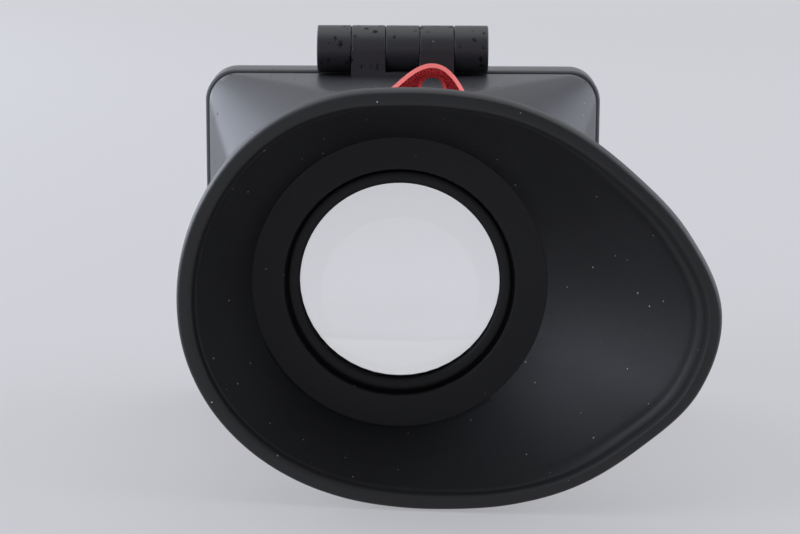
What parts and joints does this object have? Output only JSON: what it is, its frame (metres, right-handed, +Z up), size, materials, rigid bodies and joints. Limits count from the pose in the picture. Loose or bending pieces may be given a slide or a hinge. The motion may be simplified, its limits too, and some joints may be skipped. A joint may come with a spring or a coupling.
{
  "type": "lcd viewfinder loupe",
  "caption": "Hinged hood with a magnifying eyepiece, a turning rubber eyecup and a dioptre ring, for viewing a camera's rear screen.",
  "frame": {"origin": "middle of the base of the box round the whole loupe", "axes": "+Z up, +Y along the optical axis from the eye to the camera's screen, +X to the right as seen by the eye"},
  "size_m": [0.1002, 0.0974, 0.0816],
  "materials": {
    "hood_plastic": "fine matte texture",
    "barrel_plastic": "satin black",
    "rubber": "soft matte",
    "foam": "open-cell foam and felt",
    "red_anodised": "bead-blasted face with bright cut edges",
    "steel": "ground",
    "magnet_nickel": "nickel plated",
    "brass": "turned",
    "glass": "polished and coated"
  },
  "bodies": {
    "mount": {"mounting_pad": "foam", "mount_frame": "hood_plastic", "hinge_pin": "steel", "frame_magnet_upper_left": "magnet_nickel", "frame_magnet_upper_right": "magnet_nickel", "frame_magnet_lower_left": "magnet_nickel", "frame_magnet_lower_right": "magnet_nickel"},
    "hood": {"hood_shell": "hood_plastic", "mouth_seal": "foam", "hood_magnet_upper_left": "magnet_nickel", "hood_magnet_upper_right": "magnet_nickel", "hood_magnet_lower_left": "magnet_nickel", "hood_magnet_lower_right": "magnet_nickel", "eyepiece_barrel": "barrel_plastic", "barrel_screw_1": "steel", "barrel_screw_2": "steel", "barrel_screw_3": "steel", "dioptre_o_ring": "rubber"},
    "strap_ring": {"strap_ring": "red_anodised"},
    "dioptre_ring": {"dioptre_ring": "barrel_plastic"},
    "lens_cell": {"lens_cell": "barrel_plastic", "guide_pin_1": "brass", "guide_pin_2": "brass", "guide_pin_3": "brass", "rear_lens": "glass", "eye_lens": "glass", "lens_spacer": "barrel_plastic", "bezel_ring": "barrel_plastic"},
    "eyecup": {"eyecup_ring": "barrel_plastic", "eyecup": "rubber"}
  },
  "joints": [
    {"name": "hood_flip", "type": "hinge", "parent": "mount", "child": "hood", "pos_m": [-0.00813, 0.03625, 0.07661], "axis": [-1, 0, 0], "range_deg": [0, 120]},
    {"name": "strap_ring_turn", "type": "hinge", "parent": "hood", "child": "strap_ring", "pos_m": [-0.00813, 0.00035, 0.03871], "axis": [0, 1, 0], "continuous": true},
    {"name": "dioptre_turn", "type": "hinge", "parent": "hood", "child": "dioptre_ring", "pos_m": [-0.00813, -0.00675, 0.03871], "axis": [0, 1, 0], "range_deg": [-45, 45]},
    {"name": "lens_slide", "type": "slide", "parent": "hood", "child": "lens_cell", "axis": [0, -1, 0], "range_m": [-0.002, 0.002]},
    {"name": "eyecup_turn", "type": "hinge", "parent": "hood", "child": "eyecup", "pos_m": [-0.00813, -0.01815, 0.03871], "axis": [0, 1, 0], "continuous": true}
  ],
  "couplings": [
    {"joint": "lens_slide", "follows": "dioptre_turn", "m_per_rad": 0.002546}
  ]
}
